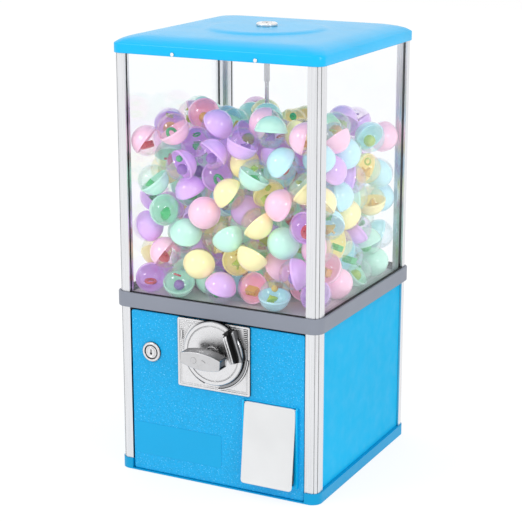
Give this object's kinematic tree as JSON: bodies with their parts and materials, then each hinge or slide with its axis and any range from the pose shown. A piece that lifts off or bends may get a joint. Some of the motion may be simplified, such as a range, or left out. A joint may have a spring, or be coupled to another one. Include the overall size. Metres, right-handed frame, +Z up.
{
  "type": "gumball machine",
  "caption": "Square counter-top capsule vending machine with a clear hopper, coin handle, capsule wheel, chute, outlet flap and locking lid",
  "frame": {"origin": "on the floor, at the centre of the square base's underside", "axes": "+Z up; the front with the handle and the outlet flap faces -Y; +X is to the right seen from the front"},
  "size_m": [0.322, 0.365, 0.64],
  "materials": {
    "blue_plastic": "gloss moulded ABS",
    "blue_textured_steel": "orange-peel powder coat on folded steel",
    "blue_smooth_steel": "smooth powder coat on sheet steel",
    "blue_label": "smooth blank film",
    "grey_plastic": "satin moulded",
    "black_rubber": "matt strip",
    "white_plastic": "satin moulded",
    "wheel_plastic": "moulded acetal",
    "gear_plastic": "moulded acetal",
    "brass": "turned and cut",
    "chrome": "polished die casting",
    "zinc_steel": "zinc plated",
    "bright_steel": "bright plated",
    "aluminium_satin": "satin anodised extrusion",
    "clear_plastic": "clear polycarbonate sheet",
    "capsule_clear": "clear polystyrene",
    "capsule_mixed": "pastel and clear polystyrene",
    "capsule_lilac": "pastel polystyrene",
    "capsule_rose": "pastel polystyrene",
    "capsule_mint": "pastel polystyrene",
    "capsule_lemon": "pastel polystyrene",
    "capsule_sky": "pastel polystyrene"
  },
  "bodies": {
    "cabinet": {"base_tray": "blue_plastic", "capsule_chute": "white_plastic", "capsule_covers": "capsule_clear", "capsule_cups_lemon": "capsule_lemon", "capsule_cups_lilac": "capsule_lilac", "capsule_cups_mint": "capsule_mint", "capsule_cups_rose": "capsule_rose", "capsule_cups_sky": "capsule_sky", "centre_rod": "bright_steel", "coin_box": "zinc_steel", "dispenser_guard": "zinc_steel", "hopper_tray": "white_plastic", "middle_band": "grey_plastic", "post_front_left": "aluminium_satin", "post_front_right": "aluminium_satin", "post_rear_left": "aluminium_satin", "post_rear_right": "aluminium_satin", "post_screws": "bright_steel", "rear_panel": "blue_smooth_steel", "rod_nuts": "bright_steel", "side_panel_left": "blue_smooth_steel", "side_panel_right": "blue_smooth_steel", "top_frame": "zinc_steel", "wheel_bowl": "white_plastic", "window_front": "clear_plastic", "window_left": "clear_plastic", "window_rear": "clear_plastic", "window_right": "clear_plastic", "window_seals": "black_rubber"},
    "handle_group": {"handle": "chrome", "handle_shaft": "bright_steel", "shaft_fasteners": "bright_steel", "coin_carrier": "zinc_steel", "ratchet_wheel": "bright_steel", "drive_pinion": "brass"},
    "door": {"front_door": "blue_textured_steel", "blank_label": "blue_label", "coin_faceplate": "chrome", "coin_slot_guide": "chrome", "mech_housing": "zinc_steel", "mech_screws": "bright_steel", "pawl_pivot": "bright_steel", "pawl_spring": "bright_steel", "lock_bezel": "chrome", "lock_nut": "bright_steel", "outlet_surround": "blue_plastic", "flap_hinge_pin": "bright_steel"},
    "wheel": {"capsule_wheel": "wheel_plastic", "wheel_face_gear": "gear_plastic", "wheel_bush": "brass", "wheel_capsules": "capsule_mixed"},
    "flap": {"outlet_flap": "white_plastic"},
    "door_lock": {"lock_plug": "chrome", "lock_cam": "bright_steel"},
    "pawl_lever": {"pawl": "bright_steel"},
    "lid_cover": {"lid": "blue_plastic", "lid_screws": "bright_steel"},
    "lid_lock": {"lid_lock_cap": "chrome", "lid_lock_plug": "chrome", "lid_lock_sleeve": "bright_steel"}
  },
  "joints": [
    {"name": "door_slide", "type": "slide", "parent": "cabinet", "child": "door", "axis": [0, -1, 0], "range_m": [0, 0.1]},
    {"name": "handle_turn", "type": "hinge", "parent": "door", "child": "handle_group", "pos_m": [0, -0.18, 0.1995], "axis": [0, 1, 0], "continuous": true},
    {"name": "wheel_turn", "type": "hinge", "parent": "cabinet", "child": "wheel", "pos_m": [0, 0, 0.23], "axis": [0, 0, 1], "continuous": true},
    {"name": "flap_swing", "type": "hinge", "parent": "door", "child": "flap", "pos_m": [0.0855, -0.1584, 0.1348], "axis": [-1, 0, 0], "range_deg": [0, 65]},
    {"name": "lock_turn", "type": "hinge", "parent": "door", "child": "door_lock", "pos_m": [-0.1035, -0.15, 0.1847], "axis": [0, 1, 0], "range_deg": [0, 90]},
    {"name": "pawl_swing", "type": "hinge", "parent": "door", "child": "pawl_lever", "pos_m": [-0.036, -0.122, 0.1755], "axis": [0, -1, 0], "range_deg": [0, 12], "stiffness_Nm_per_rad": 0.02, "springref_deg": -11.46},
    {"name": "lid_lift", "type": "slide", "parent": "cabinet", "child": "lid_cover", "axis": [0, 0, 1], "range_m": [0, 0.12]},
    {"name": "lid_lock_turn", "type": "hinge", "parent": "lid_cover", "child": "lid_lock", "pos_m": [0, 0, 0.636], "axis": [0, 0, 1], "continuous": true}
  ],
  "couplings": [
    {"joint": "wheel_turn", "follows": "handle_turn", "ratio": 0.16667}
  ]
}
